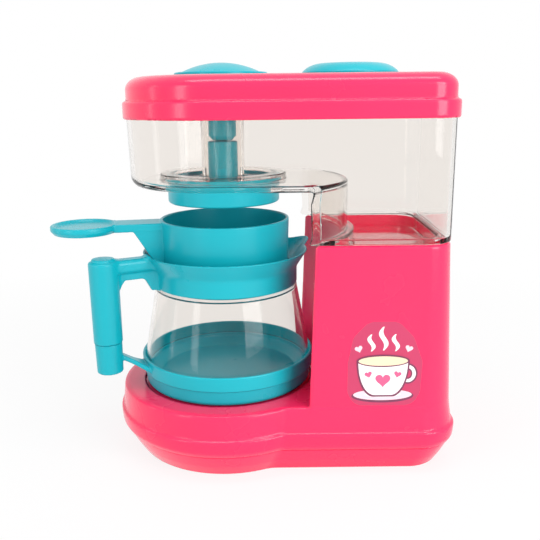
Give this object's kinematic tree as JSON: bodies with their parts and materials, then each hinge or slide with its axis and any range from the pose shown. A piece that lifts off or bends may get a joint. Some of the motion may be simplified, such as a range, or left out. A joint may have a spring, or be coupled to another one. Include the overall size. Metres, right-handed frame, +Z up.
{
  "type": "toy coffee maker",
  "caption": "Toy drip coffee maker with a clear water tank, push valve, lift-off filler cap, and a slide-out carafe with a swivelling filter basket.",
  "frame": {"origin": "on the brewing axis through carafe, basket, valve and push button, at the flat underside of the bottom cover", "axes": "+X from the brewing axis to the column, +Y to the back, +Z up along the brewing axis; -Y is the front"},
  "size_m": [0.1965, 0.113, 0.1928],
  "materials": {
    "pink_plastic": "glossy moulded pink",
    "turquoise_plastic": "satin gloss moulded turquoise",
    "clear_plastic": "clear polished plastic, faintly warm",
    "seal_rubber": "soft black rubber",
    "spring_steel": "drawn wire",
    "screw_steel": "zinc plated"
  },
  "bodies": {
    "frame": {"base_housing": "pink_plastic", "base_cover": "pink_plastic", "cover_screw_1": "screw_steel", "cover_screw_2": "screw_steel", "cover_screw_3": "screw_steel", "cover_screw_4": "screw_steel", "water_tank": "clear_plastic", "guide_tube": "clear_plastic", "drip_cap": "turquoise_plastic", "lid": "pink_plastic"},
    "button": {"push_button": "turquoise_plastic", "push_rod": "turquoise_plastic"},
    "valve": {"valve_stem": "turquoise_plastic", "valve_seal": "seal_rubber", "valve_spring": "spring_steel"},
    "cap": {"filler_cap": "turquoise_plastic"},
    "carafe": {"carafe_dish": "turquoise_plastic", "carafe_glass": "clear_plastic", "carafe_collar": "turquoise_plastic"},
    "basket": {"filter_basket": "turquoise_plastic"}
  },
  "joints": [
    {"name": "button_press", "type": "slide", "parent": "frame", "child": "button", "axis": [0, 0, -1], "range_m": [0, 0.0035], "stiffness_N_per_m": 150, "springref_m": -0.004},
    {"name": "valve_slide", "type": "slide", "parent": "frame", "child": "valve", "axis": [0, 0, -1], "range_m": [0, 0.0035], "stiffness_N_per_m": 100, "springref_m": -0.004, "deforming": ["valve_spring"]},
    {"name": "cap_lift", "type": "slide", "parent": "frame", "child": "cap", "axis": [0, 0, 1], "range_m": [0, 0.03]},
    {"name": "carafe_slide", "type": "slide", "parent": "frame", "child": "carafe", "axis": [-0.9912, 0, 0.1323], "range_m": [0, 0.12]},
    {"name": "basket_turn", "type": "hinge", "parent": "carafe", "child": "basket", "pos_m": [0, 0, 0.1], "axis": [0, 0, 1], "range_deg": [-100, 100]}
  ],
  "couplings": [
    {"joint": "valve_slide", "follows": "button_press", "ratio": 1}
  ]
}
